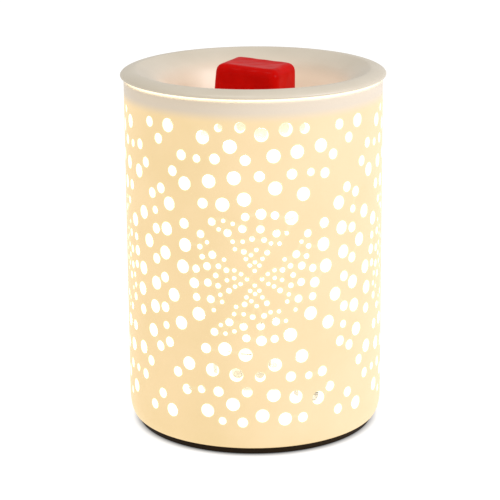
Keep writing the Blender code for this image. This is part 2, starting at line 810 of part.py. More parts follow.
def main():
    clear_scene()
    ceramic = material("ivory_ceramic", (0.93, 0.87, 0.76), 0.35)
    porcelain = material("white_porcelain", (0.86, 0.85, 0.81), 0.4)
    dark = material("dark_enamel", (0.035, 0.024, 0.02), 0.45)
    silicone = material("grey_silicone", (0.35, 0.34, 0.33), 0.7)
    rubber = material("black_rubber", (0.03, 0.03, 0.03), 0.8)
    steel = material("zinc_steel", (0.62, 0.62, 0.6), 0.35, 1.0)
    brass = material("spring_brass", (0.78, 0.6, 0.28), 0.3, 1.0)
    nickel = material("nickel_plate", (0.72, 0.7, 0.66), 0.25, 1.0)
    nylon = material("natural_nylon", (0.8, 0.78, 0.7), 0.5)
    insulation = material("heatproof_lead", (0.75, 0.72, 0.66), 0.6)
    mirror_glass = material("mirrored_glass", (0.9, 0.78, 0.45), 0.12, 0.6)
    quartz = material("clear_glass", (1.0, 0.93, 0.78), 0.05, 0.0, 2.0, 0.6)
    tungsten = material("tungsten", (1.0, 0.8, 0.5), 0.4, 0.0, 20.0)
    wax = material("red_wax", (0.62, 0.02, 0.02), 0.3)

    make_shell(ceramic)
    make_gland(rubber)
    make_base(dark, silicone, rubber)
    make_bracket(steel, silicone)
    for side, x in (("left", -CLAMP_X), ("right", CLAMP_X)):
        make_clamp(side, x, steel)
    make_holder(porcelain, brass, steel, insulation)
    make_terminal_block(nylon, steel)
    make_lamp(porcelain, mirror_glass, quartz, nickel, tungsten)
    make_dish(ceramic)
    make_wax(wax)


main()
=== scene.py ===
"""Visual model of a lamp-heated wax warmer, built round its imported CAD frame.

The frame is in metres, +Z up, with the front at -Y. Sizes below are in millimetres where a name
doesn't say otherwise, and MM turns them into metres.
"""

import math

import bmesh
import bpy
import numpy as np
from mathutils import Euler, Matrix, Vector
from mathutils.geometry import delaunay_2d_cdt

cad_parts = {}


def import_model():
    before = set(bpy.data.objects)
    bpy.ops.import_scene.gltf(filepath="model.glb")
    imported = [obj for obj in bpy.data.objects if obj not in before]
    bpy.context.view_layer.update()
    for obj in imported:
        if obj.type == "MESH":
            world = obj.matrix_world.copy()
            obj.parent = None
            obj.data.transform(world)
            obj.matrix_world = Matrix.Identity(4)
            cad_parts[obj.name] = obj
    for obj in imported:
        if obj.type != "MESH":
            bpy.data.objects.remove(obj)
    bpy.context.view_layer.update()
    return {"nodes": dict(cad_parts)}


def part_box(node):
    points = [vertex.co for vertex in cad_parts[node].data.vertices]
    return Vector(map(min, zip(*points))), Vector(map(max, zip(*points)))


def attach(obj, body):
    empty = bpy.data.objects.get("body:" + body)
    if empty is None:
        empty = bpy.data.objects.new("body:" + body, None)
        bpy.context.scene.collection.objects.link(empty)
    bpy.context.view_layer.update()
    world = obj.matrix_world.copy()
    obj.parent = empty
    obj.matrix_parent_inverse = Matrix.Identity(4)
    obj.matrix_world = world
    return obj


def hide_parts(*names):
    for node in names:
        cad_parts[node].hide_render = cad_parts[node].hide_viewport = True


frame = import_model()

MM = 0.001
SHARP = math.radians(38)
GOLDEN_ANGLE = math.pi * (3 - math.sqrt(5))

# The ceramic body, measured on its CAD solid, with the wall and corner it was drawn with
shell_low, shell_high = (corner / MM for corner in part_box("ceramic_shell"))
BODY_R = shell_high.x
BODY_BOTTOM_Z = shell_low.z
BODY_TOP_Z = shell_high.z
WALL = 4.0
INNER_R = BODY_R - WALL
CORNER_IN = 2.2
CORNER_UP = 8.0
RIM = 1.2
SHEET_LOW_Z = 9.9
SHEET_HIGH_Z = BODY_TOP_Z - RIM
COLUMNS = 160
AROUND = math.tau * BODY_R
DISH_FLOOR = 4.0

# Material slots of the body, each with painted lamp glow: the glazed outside, the hole edges and
# the inside
GLAZED, EDGE, FLOODED = 0, 1, 2

# Light holes: four bursts round the body, and a lens-shaped gap between each two of them.
# Each burst has a tall fan that is repeated downwards and a wide fan that is repeated sideways.
BURST_Z = 75.3
BURST_COUNT = 4
LOWER_NARROW = 0.96
# Punch radius: ((distance from the burst centre, degrees clockwise from straight up), ...)
TALL_FAN = {
    0.75: ((3, 2), (5.5, -19), (5.5, 21), (6.5, 2), (8.5, -23), (8.5, 22), (9.5, -8), (11.5, 4),
          (14, -33), (15.5, -17), (15.5, 25), (17, -30), (17, 36), (22, 36), (23.5, -21), (24, -36),
          (26, -28)),
    1.0: ((11.5, -21), (11.5, 26), (16, -3), (16, 14)),
    1.5: ((20, 7), (20, 26), (20.5, -13), (21, -30), (25, -8), (26.5, 18), (28, -37), (47.5, 29),
           (52.5, -26), (61.5, -13)),
    2.0: ((26, 6), (36, -35), (41, 3), (44, 20), (47.5, -4), (50, -18), (50, 36), (53.5, -40),
          (56.5, -32), (58, 35), (60.5, -5), (62.5, 19)),
    2.65: ((28, 32), (32, -23), (32, -7), (37, 13), (38.5, 31), (41, -11), (42.5, -25), (46.5, -38),
          (49.5, 9), (53, 19), (53.5, -10), (57.5, 3), (58.5, 28), (59.5, -20), (60.5, 12)),
}
# Punch radius: ((distance from the burst centre, degrees up from level), ...)
WIDE_FAN = {
    0.75: ((3, -9), (5.5, 17), (6, -24), (8, -1), (8.5, -25), (8.5, 21), (11, -6), (14, 31),
          (15.5, -28), (16.5, -38), (21.5, -40), (23.5, 36)),
    1.0: ((11.5, -28), (11.5, 15), (15, -14), (15, 17), (15.5, 2), (22.5, 20), (25, 28)),
    1.5: ((19, -8), (19, 28), (19.5, 12), (20, -28), (24, 6), (25.5, -21), (27.5, 38), (45.5, -31)),
    2.0: ((25, -8), (35.5, 35), (39.5, -5), (42.5, -22), (48, -39), (52.5, 39)),
    2.65: ((28, -35), (30, 5), (31, 22), (36, -16), (37.5, -34), (39.5, 10), (41.5, 24),
           (45.5, 37)),
}
# (punch radius, offset along the wall, height over the burst centre), in each gap, top and bottom
GAP_HOLES = ((2.0, -5.3, 59), (2.65, 5.3, 59), (2.0, 0.0, 53))
GLAND_Z = 15.0
GLAND_HOLE_R = 4.6
GLAND_CLEAR_R = 8.0
RING_SIDES = {0.75: 12, 1.0: 14, 1.5: 18, 2.0: 22, 2.65: 26, GLAND_HOLE_R: 32}
HOLE_ROUND = 0.15
# The points between the holes: how far they keep off them, and how far each is shaken, in steps
GRID_CLEAR = 0.75
GRID_SHAKE = 0.02
# The distance over which the painted glow halo round a hole fades
HALO_FADE = 1.2

# Heights in metres between which the painted lamp glow on a surface fades
BODY_GLOW_FADE = (0.1368, 0.1418)
INSIDE_DIMS = (0.098, 0.142)
BOWL_GLOW_FADE = (0.139, 0.149)
LIP_GLOWS = (0.1450, 0.1464)
# Height of the relief in the glazes, in metres
GLAZE_RELIEF = 0.00004


# Materials

def new_material(name):
    """(material, node tree, shader) with an empty Principled set-up."""
    made = bpy.data.materials.new(name)
    made.use_nodes = True
    return made, made.node_tree, made.node_tree.nodes["Principled BSDF"]


def set_inputs(node, **values):
    """Sets inputs by name, with _ for a space. A colour is given without its alpha."""
    for name, value in values.items():
        socket = node.inputs[name.replace("_", " ")]
        is_colour = isinstance(value, tuple) and len(value) == 3
        socket.default_value = (*value, 1.0) if is_colour else value


def place_coordinates(tree):
    """The object's own coordinates, in metres."""
    return tree.nodes.new("ShaderNodeTexCoord").outputs["Object"]


def noise(tree, scale, detail=3.0, roughness=0.55):
    """Noise over the object's own coordinates, which are metres; scale counts waves in a metre."""
    texture = tree.nodes.new("ShaderNodeTexNoise")
    set_inputs(texture, Scale=scale, Detail=detail, Roughness=roughness)
    tree.links.new(place_coordinates(tree), texture.inputs["Vector"])
    return texture.outputs["Fac"]


def spread(tree, value, low, high, to_low, to_high):
    """Maps value from low..high to to_low..to_high, smoothly, and holds it at the ends."""
    step = tree.nodes.new("ShaderNodeMapRange")
    step.interpolation_type = "SMOOTHSTEP"
    tree.links.new(value, step.inputs["Value"])
    step.inputs["From Min"].default_value = low
    step.inputs["From Max"].default_value = high
    step.inputs["To Min"].default_value = to_low
    step.inputs["To Max"].default_value = to_high
    return step.outputs["Result"]


def colours(tree, factor, stops):
    """A colour ramp through (place, (r, g, b)) stops."""
    ramp = tree.nodes.new("ShaderNodeValToRGB")
    tree.links.new(factor, ramp.inputs["Fac"])
    elements = ramp.color_ramp.elements
    while len(elements) < len(stops):
        elements.new(0.5)
    for element, (place, colour) in zip(elements, stops):
        element.position = place
        element.color = (*colour, 1.0)
    return ramp.outputs["Color"]


def mix_colours(tree, factor, first, second):
    """A mix node's colour. first and second are (r, g, b) or a colour socket."""
    mix = tree.nodes.new("ShaderNodeMix")
    mix.data_type = "RGBA"
    tree.links.new(factor, mix.inputs["Factor"])
    for index, value in ((6, first), (7, second)):
        if isinstance(value, tuple):
            mix.inputs[index].default_value = (*value, 1.0)
        else:
            tree.links.new(value, mix.inputs[index])
    return mix.outputs[2]


def add_bump(tree, shader, height, distance):
    bump = tree.nodes.new("ShaderNodeBump")
    set_inputs(bump, Distance=distance, Strength=1.0)
    tree.links.new(height, bump.inputs["Height"])
    tree.links.new(bump.outputs["Normal"], shader.inputs["Normal"])


def height_above(tree):
    """The object's own Z, in metres."""
    split = tree.nodes.new("ShaderNodeSeparateXYZ")
    tree.links.new(place_coordinates(tree), split.inputs["Vector"])
    return split.outputs["Z"]


def lit_ceramic():
    """Ivory glaze with the lamp's light through the thin ceramic painted on as emission, fading out
    towards the rim.
    """
    made, tree, shader = new_material("lit_ivory_ceramic")
    made.cycles.emission_sampling = "NONE"
    set_inputs(shader, Roughness=0.38, Specular_IOR_Level=0.14)
    set_inputs(shader, Coat_Weight=0.06, Coat_Roughness=0.12)
    # Painted glow: the emission fades out towards the rim
    glow_fade = spread(tree, height_above(tree), *BODY_GLOW_FADE, 0.0, 1.0)
    mottle = noise(tree, 38.0, 3.0)
    # Painted shade as well: the base colour is greyer and darker where the painted glow is, and
    # ivory at the rim
    body = colours(tree, mottle, ((0.3, (0.35, 0.35, 0.32)), (0.7, (0.37, 0.37, 0.345))))
    rim = (0.66, 0.58, 0.475)
    tree.links.new(mix_colours(tree, glow_fade, body, rim), shader.inputs["Base Color"])
    # The painted lamp glow, in an uneven warm tone
    glow = colours(tree, mottle, ((0.3, (0.56, 0.335, 0.045)), (0.7, (0.59, 0.355, 0.063))))
    # Painted glow halo: the emission is warmer and stronger next to each hole
    halo = tree.nodes.new("ShaderNodeAttribute")
    halo.attribute_name = "halo"
    near_hole = spread(tree, halo.outputs["Fac"], 0.6, 1.0, 0.0, 1.0)
    glow = mix_colours(tree, near_hole, glow, (0.58, 0.385, 0.085))
    glow = mix_colours(tree, glow_fade, glow, (0.06, 0.035, 0.01))
    tree.links.new(glow, shader.inputs["Emission Color"])
    shader.inputs["Emission Strength"].default_value = 1.0
    add_bump(tree, shader, noise(tree, 900.0, 2.0), GLAZE_RELIEF)
    return made


def hole_wall():
    """The punched edges, with the lamp's light behind them painted on as a strong emission glow."""
    made, tree, shader = new_material("lit_hole_wall")
    made.cycles.emission_sampling = "NONE"
    set_inputs(shader, Roughness=0.4, Base_Color=(0.8, 0.74, 0.6))
    # Painted lamp glow
    glow = colours(tree, noise(tree, 240.0), ((0.3, (0.95, 0.80, 0.46)), (0.7, (1.0, 0.88, 0.58))))
    tree.links.new(glow, shader.inputs["Emission Color"])
    shader.inputs["Emission Strength"].default_value = 1.1
    return made


def inner_ceramic():
    """The inside of the body, with the lamp's light painted on as emission that dims towards the
    top.
    """
    made, tree, shader = new_material("flooded_ceramic")
    made.cycles.emission_sampling = "NONE"
    set_inputs(shader, Roughness=0.5, Base_Color=(0.36, 0.33, 0.28), Specular_IOR_Level=0.2)
    # Painted lamp glow, dimming upwards
    glow = colours(tree, noise(tree, 60.0), ((0.3, (1.0, 0.93, 0.80)), (0.7, (1.0, 0.95, 0.84))))
    tree.links.new(glow, shader.inputs["Emission Color"])
    bright = spread(tree, height_above(tree), *INSIDE_DIMS, 0.95, 0.36)
    tree.links.new(bright, shader.inputs["Emission Strength"])
    return made


def dish_glaze():
    """The dish's glaze, with the lamp's light through the bowl's floor painted on as a warm
    emission glow that fades out towards the lip.
    """
    made, tree, shader = new_material("dish_ivory_ceramic")
    made.cycles.emission_sampling = "NONE"
    set_inputs(shader, Roughness=0.42, Coat_Weight=0.1, Coat_Roughness=0.15)
    mottle = noise(tree, 45.0)
    base = colours(tree, mottle, ((0.3, (0.57, 0.50, 0.385)), (0.7, (0.61, 0.54, 0.425))))
    tree.links.new(base, shader.inputs["Base Color"])
    # Painted lamp glow on the bowl's floor, fading out up the sides
    bowl_glow = spread(tree, height_above(tree), *BOWL_GLOW_FADE, 1.0, 0.0)
    glow = mix_colours(tree, bowl_glow, (0.0, 0.0, 0.0), (0.27, 0.20, 0.145))
    tree.links.new(glow, shader.inputs["Emission Color"])
    shader.inputs["Emission Strength"].default_value = 1.0
    add_bump(tree, shader, noise(tree, 700.0, 2.0), GLAZE_RELIEF)
    return made


def dish_underside():
    """The dish's lower side, with the lamp's light painted on as emission, brightest at the lip
    where the light leaves the mouth.
    """
    made, tree, shader = new_material("dish_lit_underside")
    made.cycles.emission_sampling = "NONE"
    set_inputs(shader, Roughness=0.4, Base_Color=(0.60, 0.585, 0.55))
    glow = colours(tree, noise(tree, 70.0), ((0.3, (1.0, 0.88, 0.66)), (0.7, (1.0, 0.93, 0.75))))
    tree.links.new(glow, shader.inputs["Emission Color"])
    # Painted lamp glow, strongest at the lip
    bright = spread(tree, height_above(tree), *LIP_GLOWS, 0.14, 2.4)
    tree.links.new(bright, shader.inputs["Emission Strength"])
    return made


def red_wax():
    """Dyed wax: a deep even red with a soft shine and faint pouring marks."""
    made, tree, shader = new_material("red_dyed_wax")
    set_inputs(shader, Roughness=0.3, Specular_IOR_Level=0.01)
    set_inputs(shader, Coat_Weight=0.06, Coat_Roughness=0.12)
    set_inputs(shader, Subsurface_Weight=0.1, Subsurface_Scale=0.0012)
    shader.inputs["Subsurface Radius"].default_value = (1.0, 0.08, 0.05)
    cloud = noise(tree, 130.0, 4.0, 0.6)
    tone = colours(tree, cloud, ((0.3, (0.47, 0.0015, 0.0004)), (0.7, (0.56, 0.003, 0.001))))
    tree.links.new(tone, shader.inputs["Base Color"])
    add_bump(tree, shader, noise(tree, 420.0, 3.0), 0.00006)
    return made


def plain(name, low, high, roughness, scale, metallic=0.0, relief=0.00003, specular=0.5):
    """A surface that varies a little between two colours, with a fine relief in metres."""
    made, tree, shader = new_material(name)
    grain = noise(tree, scale)
    tree.links.new(colours(tree, grain, ((0.35, low), (0.65, high))), shader.inputs["Base Color"])
    low_rough, high_rough = roughness
    tree.links.new(spread(tree, grain, 0.3, 0.7, low_rough, high_rough), shader.inputs["Roughness"])
    set_inputs(shader, Metallic=metallic, Specular_IOR_Level=specular)
    add_bump(tree, shader, grain, relief)
    return made


def lit_glass():
    """Clear glass with the lamp's glow in it."""
    made, tree, shader = new_material("lit_clear_glass")
    set_inputs(shader, Transmission_Weight=1.0, IOR=1.47, Base_Color=(1.0, 0.96, 0.88))
    ripple = noise(tree, 260.0, 2.0)
    tree.links.new(spread(tree, ripple, 0.3, 0.7, 0.02, 0.07), shader.inputs["Roughness"])
    glow = colours(tree, ripple, ((0.3, (1.0, 0.80, 0.48)), (0.7, (1.0, 0.88, 0.62))))
    tree.links.new(glow, shader.inputs["Emission Color"])
    shader.inputs["Emission Strength"].default_value = 0.7
    add_bump(tree, shader, ripple, 0.0001)
    return made


def glowing_wire():
    """The filament, which is far brighter than all round it."""
    made, tree, shader = new_material("glowing_tungsten")
    made.cycles.emission_sampling = "NONE"
    glow = colours(tree, noise(tree, 500.0), ((0.3, (1.0, 0.66, 0.30)), (0.7, (1.0, 0.80, 0.50))))
    tree.links.new(glow, shader.inputs["Emission Color"])
    set_inputs(shader, Emission_Strength=18.0, Roughness=0.5, Metallic=1.0)
    return made


# Meshes

def smooth(mesh):
    mesh.shade_smooth()
    mesh.set_sharp_from_angle(angle=SHARP)


def finished(work, name):
    """Turns a bmesh into a mesh."""
    mesh = bpy.data.meshes.new(name)
    work.to_mesh(mesh)
    work.free()
    return mesh


def link(name, mesh, *stuff):
    """A new object in the scene, with its material slots filled."""
    thing = add_to_scene(name, mesh)
    for material in stuff:
        mesh.materials.append(material)
    return thing


def curve_through(knots, per_span):
    """Points on a Catmull-Rom curve through (r, z) knots."""
    marks = [Vector(knot) for knot in knots]
    marks = [2 * marks[0] - marks[1], *marks, 2 * marks[-1] - marks[-2]]
    route = []
    for a, b, c, d in zip(marks, marks[1:], marks[2:], marks[3:]):
        for i in range(per_span):
            t = i / per_span
            route.append(
                0.5 * (2 * b + (c - a) * t + (2 * a - 5 * b + 4 * c - d) * t**2
                       + (3 * b - a - 3 * c + d) * t**3)
            )
    route.append(marks[-2])
    return [tuple(point) for point in route]


def revolve(name, outline, columns):
    """A closed turned mesh. The outline is (r, z) in millimetres and runs up its outer side."""
    work = bmesh.new()
    rings = []
    for r, z in outline:
        if r < 1e-6:
            rings.append([work.verts.new((0.0, 0.0, z * MM))])
            continue
        turns = (math.tau * i / columns for i in range(columns))
        spots = ((r * MM * math.cos(a), r * MM * math.sin(a), z * MM) for a in turns)
        rings.append([work.verts.new(spot) for spot in spots])
    pairs = list(zip(rings, rings[1:]))
    if len(rings[0]) > 1:
        pairs.append((rings[-1], rings[0]))
    for low, high in pairs:
        for i in range(columns):
            j = (i + 1) % columns
            below = [low[i % len(low)], low[j % len(low)]]
            above = [high[j % len(high)], high[i % len(high)]]
            work.faces.new(list(dict.fromkeys(below + above)))
    mesh = finished(work, name)
    smooth(mesh)
    return mesh


# Ceramic body

def wall_holes():
    """An array of (distance along the wall, height, radius) for each hole, in millimetres."""
    places = []
    for radius, spots in TALL_FAN.items():
        for distance, degrees in spots:
            for narrow, lift in ((1, 1), (LOWER_NARROW, -1)):
                turn = math.radians(degrees * narrow)
                up = lift * distance * math.cos(turn)
                places.append((distance * math.sin(turn), up, radius))
    for radius, spots in WIDE_FAN.items():
        for distance, degrees in spots:
            along = distance * math.cos(math.radians(degrees))
            up = distance * math.sin(math.radians(degrees))
            places += [(along, up, radius), (-along, up, radius)]
    holes = []
    for burst in range(BURST_COUNT):
        middle = AROUND * (burst / BURST_COUNT - 0.25)
        side = -1 if burst >= 2 else 1
        lift = -1 if burst % 2 else 1
        holes += [(middle + side * x, BURST_Z + lift * z, radius) for x, z, radius in places]
        between = middle + AROUND / BURST_COUNT / 2
        for radius, x, z in GAP_HOLES:
            holes += [(between + x, BURST_Z + z, radius), (between + x, BURST_Z - z, radius)]
    rear = AROUND / 4
    kept = [
        (along, z, radius) for along, z, radius in holes
        if math.hypot(along - rear, z - GLAND_Z) > GLAND_CLEAR_R + radius
    ]
    kept.append((rear, GLAND_Z, GLAND_HOLE_R))
    table = np.array(kept)
    table[:, 0] %= AROUND
    return table


def hole_rings(holes):
    """For each hole, the angles of its ring's points. The start angle differs, to avoid ties."""
    rings = []
    for i, (_, _, radius) in enumerate(holes):
        sides = RING_SIDES[radius]
        rings.append(GOLDEN_ANGLE * i + math.tau * np.arange(sides) / sides)
    return rings


def wrapped(difference):
    """The shorter way round the wall."""
    return (difference + AROUND / 2) % AROUND - AROUND / 2


def lattice(holes):
    """Points of a triangular grid on the unrolled wall that stay clear of the holes."""
    step = AROUND / COLUMNS
    row = step * math.sqrt(3) / 2
    points = []
    count = int((SHEET_HIGH_Z - SHEET_LOW_Z) / row)
    for i in range(1, count):
        z = SHEET_LOW_Z + (SHEET_HIGH_Z - SHEET_LOW_Z) * i / count
        shift = 0.25 * step + (i % 2) * step / 2
        points += [(shift + step * j, z) for j in range(COLUMNS)]
    points = np.array(points)
    random = np.random.default_rng(5)
    points += random.uniform(-GRID_SHAKE, GRID_SHAKE, points.shape) * step
    clear = np.ones(len(points), bool)
    for along, z, radius in holes:
        gap = np.hypot(wrapped(points[:, 0] - along), points[:, 1] - z)
        clear &= gap > radius + HOLE_ROUND + GRID_CLEAR
    return points[clear]


def sheet_triangles(points, holes):
    """Triangles over the unrolled wall, whose two ends meet, with the holes left open."""
    margin, tolerance = 16.0, 1e-7
    ids = np.arange(len(points))
    near_end = ids[points[:, 0] > AROUND - margin]
    near_start = ids[points[:, 0] < margin]
    all_ids = np.concatenate([ids, near_end, near_start])
    lap = (AROUND, 0)
    coords = np.concatenate([points, points[near_end] - lap, points[near_start] + lap])
    flat = [Vector(point) for point in coords.tolist()]
    made, _, faces, origin, _, _ = delaunay_2d_cdt(flat, [], [], 0, tolerance, True)
    back = np.array([all_ids[source[0]] for source in origin])
    where = np.array([tuple(point) for point in made])
    faces = np.array(faces)
    centres = where[faces].mean(axis=1)
    keep = (centres[:, 0] >= 0) & (centres[:, 0] < AROUND)
    faces, centres = faces[keep], centres[keep]
    open_wall = np.ones(len(faces), bool)
    for along, z, radius in holes:
        gap = np.hypot(wrapped(centres[:, 0] - along), centres[:, 1] - z)
        open_wall &= gap > radius + 0.5 * HOLE_ROUND
    faces = faces[open_wall]
    start, middle, end = (where[faces[:, k]] for k in range(3))
    ab, ac = middle - start, end - start
    turn = ab[:, 0] * ac[:, 1] - ab[:, 1] * ac[:, 0]
    faces[turn < 0] = faces[turn < 0][:, ::-1]
    return back[faces]


def outer_radius(z):
    """The outside of the body, which draws in round its lower corner."""
    drop = np.clip(1 - (z - BODY_BOTTOM_Z) / CORNER_UP, 0.0, 1.0)
    return BODY_R - CORNER_IN * (1 - np.sqrt(1 - drop**2))


def on_wall(along, z, depth):
    """Where a point of the unrolled wall lies, depth being measured in from the outside."""
    angle = along / BODY_R
    radius = outer_radius(z) - depth
    return np.stack([radius * np.cos(angle), radius * np.sin(angle), z], axis=-1) * MM


def wall_direction(along, outward, sideways, up):
    """A direction given by its parts out of, along and up the wall."""
    angle = along / BODY_R
    x = outward * np.cos(angle) - sideways * np.sin(angle)
    y = outward * np.sin(angle) + sideways * np.cos(angle)
    return np.stack([x, y, np.full_like(angle, up)], axis=-1)


def rim_and_floor_outline():
    """(r, z) of the rim, going in from the outside, and of the floor and corner, going out."""
    top, low = BODY_TOP_Z, BODY_BOTTOM_Z
    out_r, in_r, rim_z = BODY_R - RIM, INNER_R + RIM, top - RIM
    steps = [math.pi / 2 * i / 6 for i in range(1, 6)]
    rim = [(out_r + RIM * math.cos(a), rim_z + RIM * math.sin(a)) for a in steps]
    rim += [(out_r, top), (in_r, top)]
    rim += [(in_r - RIM * math.sin(a), rim_z + RIM * math.cos(a)) for a in steps]
    floor_top, floor_under, hole_r, gasket_r = 7.6, 4.1, 32.0, 46.8
    floor = [(INNER_R, floor_top + 2.0), (INNER_R - 0.3, floor_top + 1.1)]
    floor += [(INNER_R - 0.8, floor_top + 0.5), (INNER_R - 2.0, floor_top)]
    floor += [(hole_r + 0.4, floor_top), (hole_r, floor_top - 0.4), (hole_r, floor_under + 0.2)]
    floor += [(hole_r + 0.2, floor_under), (gasket_r, floor_under), (gasket_r + 0.4, low)]
    start = math.acos(1 - (SHEET_LOW_Z - low) / CORNER_UP)
    corner_r = BODY_R - CORNER_IN
    turns = [start * i / 9 for i in range(9)]
    corner = [
        (corner_r + CORNER_IN * math.sin(a), low + CORNER_UP * (1 - math.cos(a))) for a in turns
    ]
    return rim, floor + corner


def ring_spots(hole, angles, grow):
    """The ring of points that lies grow outside a hole's edge: distances along and up the wall."""
    along, z, radius = hole
    reach = radius + grow
    return along + reach * np.cos(angles), z + reach * np.sin(angles)


def quads(before, after):
    """Faces between two loops of as many points each."""
    count = len(before)
    nexts = [(i + 1) % count for i in range(count)]
    return [[before[i], before[j], after[j], after[i]] for i, j in enumerate(nexts)]


def make_shell(outside, edge, inside):
    """The perforated body: an outer and an inner sheet, joined at the holes, rim and floor."""
    holes = wall_holes()
    rings = hole_rings(holes)
    ring_points = [ring_spots(hole, angles, HOLE_ROUND) for hole, angles in zip(holes, rings)]
    ring_points = [np.stack(spot, axis=-1) for spot in ring_points]
    starts = np.cumsum([0] + [len(ring) for ring in rings])
    grid = lattice(holes)
    columns = AROUND * (np.arange(COLUMNS) + 0.5) / COLUMNS
    low_edge = np.stack([columns, np.full(COLUMNS, SHEET_LOW_Z)], axis=-1)
    high_edge = np.stack([columns, np.full(COLUMNS, SHEET_HIGH_Z)], axis=-1)
    points = np.concatenate([*ring_points, grid, low_edge, high_edge])
    points[:, 0] %= AROUND
    low_start = starts[-1] + len(grid)
    high_start = low_start + COLUMNS
    triangles = sheet_triangles(points, holes)

    size = len(points)
    along, z = points.T
    spots = [on_wall(along, z, 0.0), on_wall(along, z, WALL)]
    normals = [wall_direction(along, 1.0, 0.0, 0.0), wall_direction(along, -1.0, 0.0, 0.0)]
    # The painted glow halo: 1 at a hole's edge, fading away from it
    gap = np.full(size, np.inf)
    for at, up, radius in holes:
        gap = np.minimum(gap, np.hypot(wrapped(along - at), z - up) - radius - HOLE_ROUND)
    halo = [np.exp(-np.maximum(gap, 0.0) / HALO_FADE)] * 2
    faces = triangles.tolist() + (triangles[:, ::-1] + size).tolist()
    slots = [GLAZED] * len(triangles) + [FLOODED] * len(triangles)

    # Down each hole: how far outside its edge, how deep, and how far the normal leans out
    layers = ((0.09, 0.09, 0.7), (0.0, 0.3, 0.0), (0.0, WALL - 0.3, 0.0))
    total = 2 * size
    for hole, angles, start in zip(holes, rings, starts):
        count = len(angles)
        loops = [list(range(start, start + count))]
        for grow, depth, outward in layers:
            at, up = ring_spots(hole, angles, grow)
            spots.append(on_wall(at, up, depth))
            inward = math.sqrt(1 - outward**2)
            sideways, upward = -inward * np.cos(angles), -inward * np.sin(angles)
            normals.append(wall_direction(at, outward, sideways, upward))
            halo.append(np.ones(count))
            loops.append(list(range(total, total + count)))
            total += count
        loops.append([i + size for i in loops[0]])
        for k, (outer, deeper) in enumerate(zip(loops, loops[1:])):
            faces += quads(outer, deeper)
            slots += [GLAZED if k == 0 else EDGE] * count
    smooth_count = total

    rim, floor = rim_and_floor_outline()
    high = [high_start + i for i in range(COLUMNS)]
    low = [low_start + i for i in range(COLUMNS)]
    angle = columns / BODY_R
    rim_outer_steps, floor_inner_steps = 6, 7
    for outline, first, last, changes_at, before_it, after_it in (
        (rim, high, [i + size for i in high], rim_outer_steps, GLAZED, FLOODED),
        (floor, [i + size for i in low], low, floor_inner_steps, FLOODED, GLAZED),
    ):
        loops = [first]
        for r, height in outline:
            flat = np.full(COLUMNS, height)
            spots.append(np.stack([r * np.cos(angle), r * np.sin(angle), flat], axis=-1) * MM)
            halo.append(np.zeros(COLUMNS))
            loops.append(list(range(total, total + COLUMNS)))
            total += COLUMNS
        loops.append(last)
        for k, (before, after) in enumerate(zip(loops, loops[1:])):
            faces += quads(before, after)
            slots += [before_it if k < changes_at else after_it] * COLUMNS

    mesh = bpy.data.meshes.new("perforated_body")
    mesh.from_pydata(np.concatenate(spots).tolist(), [], faces)
    mesh.polygons.foreach_set("material_index", slots)
    glow = mesh.attributes.new("halo", "FLOAT", "POINT")
    glow.data.foreach_set("value", np.concatenate(halo).astype(np.float32))
    body = link("perforated_body", mesh, outside, edge, inside)
    smooth(mesh)
    hold_normals(mesh, np.concatenate(normals), smooth_count)
    return body


def hold_normals(mesh, normals, count):
    """Gives the first count points the wall's true normals, and leaves the rest as they are."""
    corners = np.empty(len(mesh.loops) * 3, np.float32)
    mesh.corner_normals.foreach_get("vector", corners)
    corners = corners.reshape(-1, 3)
    point_of = np.empty(len(mesh.loops), np.int32)
    mesh.loops.foreach_get("vertex_index", point_of)
    known = point_of < count
    corners[known] = normals[point_of[known]]
    mesh.normals_split_custom_set(corners.tolist())


def make_lugs(stuff):
    """Three rounded lugs inside the mouth, which carry the dish."""
    work = bmesh.new()
    deep, wide, tall, top, into_wall, edge_r = 6.2, 8.0, 3.6, 142.2, 1.2, 0.8
    for degrees in (90, 210, 330):
        centre = (INNER_R + into_wall - deep / 2, 0.0, top - tall / 2)
        place = (
            Matrix.Rotation(math.radians(degrees), 4, "Z")
            @ Matrix.Translation(Vector(centre) * MM)
            @ Matrix.Diagonal((deep * MM, wide * MM, tall * MM, 1.0))
        )
        bmesh.ops.create_cube(work, size=1.0, matrix=place)
    bmesh.ops.bevel(
        work, geom=work.edges[:], offset=edge_r * MM, segments=3, profile=0.5, affect="EDGES",
    )
    mesh = finished(work, "dish_lugs")
    smooth(mesh)
    return link("dish_lugs", mesh, stuff)


# Dish and wax

